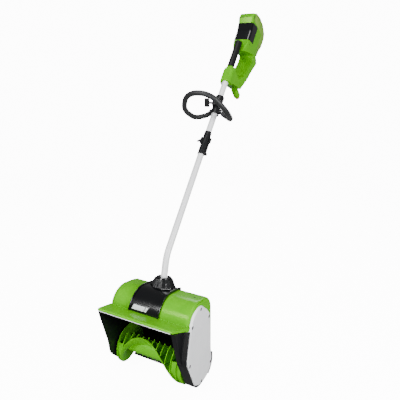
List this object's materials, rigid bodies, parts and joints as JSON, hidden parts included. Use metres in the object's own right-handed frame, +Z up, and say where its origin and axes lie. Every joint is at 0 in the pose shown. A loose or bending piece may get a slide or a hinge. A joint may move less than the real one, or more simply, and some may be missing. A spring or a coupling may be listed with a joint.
{
  "type": "cordless snow shovel",
  "caption": "Battery snow thrower on a long bent shaft: finned rotor in an open chute, belt drive at one end, loop handle, trigger grip and slide-on battery.",
  "frame": {"origin": "middle of the scraper's bottom edge, on the ground", "axes": "+X across, towards the belt drive's cover; -Y forwards out of the intake; +Y back to the operator; +Z up"},
  "size_m": [0.3568, 1.1747, 1.4449],
  "materials": {
    "green_plastic": "moulded satin",
    "black_plastic": "moulded matt",
    "gloss_black": "moulded gloss",
    "white_plastic": "moulded satin",
    "grey_tube": "powder coated light grey",
    "steel": "zinc plated",
    "lens": "clear cover over a pale reflector",
    "motor_steel": "plated steel can",
    "cast_metal": "die cast",
    "belt_rubber": "ribbed",
    "grip_rubber": "soft matt",
    "foam": "closed cell foam",
    "brass_contacts": "bare",
    "red_plastic": "moulded gloss",
    "battery_plastic": "moulded satin"
  },
  "bodies": {
    "head": {"chute": "black_plastic", "side_wall_left": "black_plastic", "side_wall_right": "black_plastic", "scraper_blade": "black_plastic", "scraper_screws": "steel", "upper_housing": "green_plastic", "motor_cover": "gloss_black", "headlamp_lens": "lens", "headlamp_board": "white_plastic", "shaft_socket": "gloss_black", "rotor_bearings": "steel", "bearing_cap": "black_plastic", "bearing_cap_screws": "steel", "motor": "motor_steel", "motor_bracket": "cast_metal", "drive_belt": "belt_rubber", "drive_case": "black_plastic", "drive_cover": "white_plastic", "cover_screws": "steel", "lower_tube": "grey_tube", "coupler_sleeve": "black_plastic", "lever_pin": "steel"},
    "rotor": {"rotor_core": "green_plastic", "rotor_paddles": "green_plastic", "rotor_shaft": "steel", "rotor_nut": "steel", "rotor_pulley": "black_plastic"},
    "motor_rotor": {"motor_shaft": "steel", "motor_pulley": "cast_metal"},
    "clamp_knob": {"coupler_knob": "black_plastic"},
    "lock_lever": {"coupler_lever": "black_plastic"},
    "power_unit": {"upper_tube": "grey_tube", "handle_clamp_left": "black_plastic", "handle_clamp_right": "black_plastic", "handle_nut": "steel", "handle_shell_left": "green_plastic", "handle_shell_right": "green_plastic", "handle_screws": "steel", "front_panel": "gloss_black", "grip_sleeve": "grip_rubber", "trigger_pin": "steel", "battery_terminals": "brass_contacts", "power_pod": "green_plastic"},
    "loop": {"loop_bar": "grey_tube", "loop_grip": "foam"},
    "loop_knob": {"handle_knob": "black_plastic"},
    "trigger_lever": {"trigger": "black_plastic"},
    "lock_off": {"lock_button": "black_plastic"},
    "start_button": {"power_button": "red_plastic"},
    "battery": {"battery_pack": "battery_plastic"},
    "battery_latch": {"battery_release": "black_plastic"}
  },
  "joints": [
    {"name": "rotor_spin", "type": "hinge", "parent": "head", "child": "rotor", "pos_m": [0, -0.045, 0.095], "axis": [1, 0, 0], "continuous": true},
    {"name": "motor_spin", "type": "hinge", "parent": "head", "child": "motor_rotor", "pos_m": [0, -0.045, 0.28], "axis": [1, 0, 0], "continuous": true},
    {"name": "clamp_knob_turn", "type": "hinge", "parent": "head", "child": "clamp_knob", "pos_m": [-0.03, 0.35181, 0.87779], "axis": [1, 0, 0], "continuous": true},
    {"name": "lock_lever_swing", "type": "hinge", "parent": "head", "child": "lock_lever", "pos_m": [0.0206, 0.3125, 0.82985], "axis": [0, 0.7733, -0.6341], "range_deg": [0, 90]},
    {"name": "shaft_pull", "type": "slide", "parent": "head", "child": "power_unit", "axis": [0, 0.6341, 0.7733], "range_m": [0, 0.056]},
    {"name": "loop_tilt", "type": "hinge", "parent": "power_unit", "child": "loop", "pos_m": [0, 0.45191, 0.99357], "axis": [1, 0, 0], "range_deg": [-25, 25]},
    {"name": "loop_knob_turn", "type": "hinge", "parent": "power_unit", "child": "loop_knob", "pos_m": [-0.02, 0.44674, 1.03143], "axis": [1, 0, 0], "continuous": true},
    {"name": "trigger_pull", "type": "hinge", "parent": "power_unit", "child": "trigger_lever", "pos_m": [0, 0.65404, 1.24165], "axis": [-1, 0, 0], "range_deg": [0, 9], "stiffness_Nm_per_rad": 0.5, "springref_deg": -8.59},
    {"name": "lock_off_press", "type": "slide", "parent": "power_unit", "child": "lock_off", "axis": [1, 0, 0], "range_m": [0, 0.003], "stiffness_N_per_m": 300, "springref_m": -0.004},
    {"name": "start_press", "type": "slide", "parent": "power_unit", "child": "start_button", "axis": [0, -0.7733, 0.6341], "range_m": [0, 0.003], "stiffness_N_per_m": 300, "springref_m": -0.004},
    {"name": "battery_slide", "type": "slide", "parent": "power_unit", "child": "battery", "axis": [0, 0.9118, -0.4106], "range_m": [0, 0.16]},
    {"name": "battery_latch_press", "type": "slide", "parent": "battery", "child": "battery_latch", "axis": [0, -0.7733, 0.6341], "range_m": [0, 0.002], "stiffness_N_per_m": 500, "springref_m": -0.004}
  ],
  "couplings": [
    {"joint": "motor_spin", "follows": "rotor_spin", "ratio": 3}
  ]
}
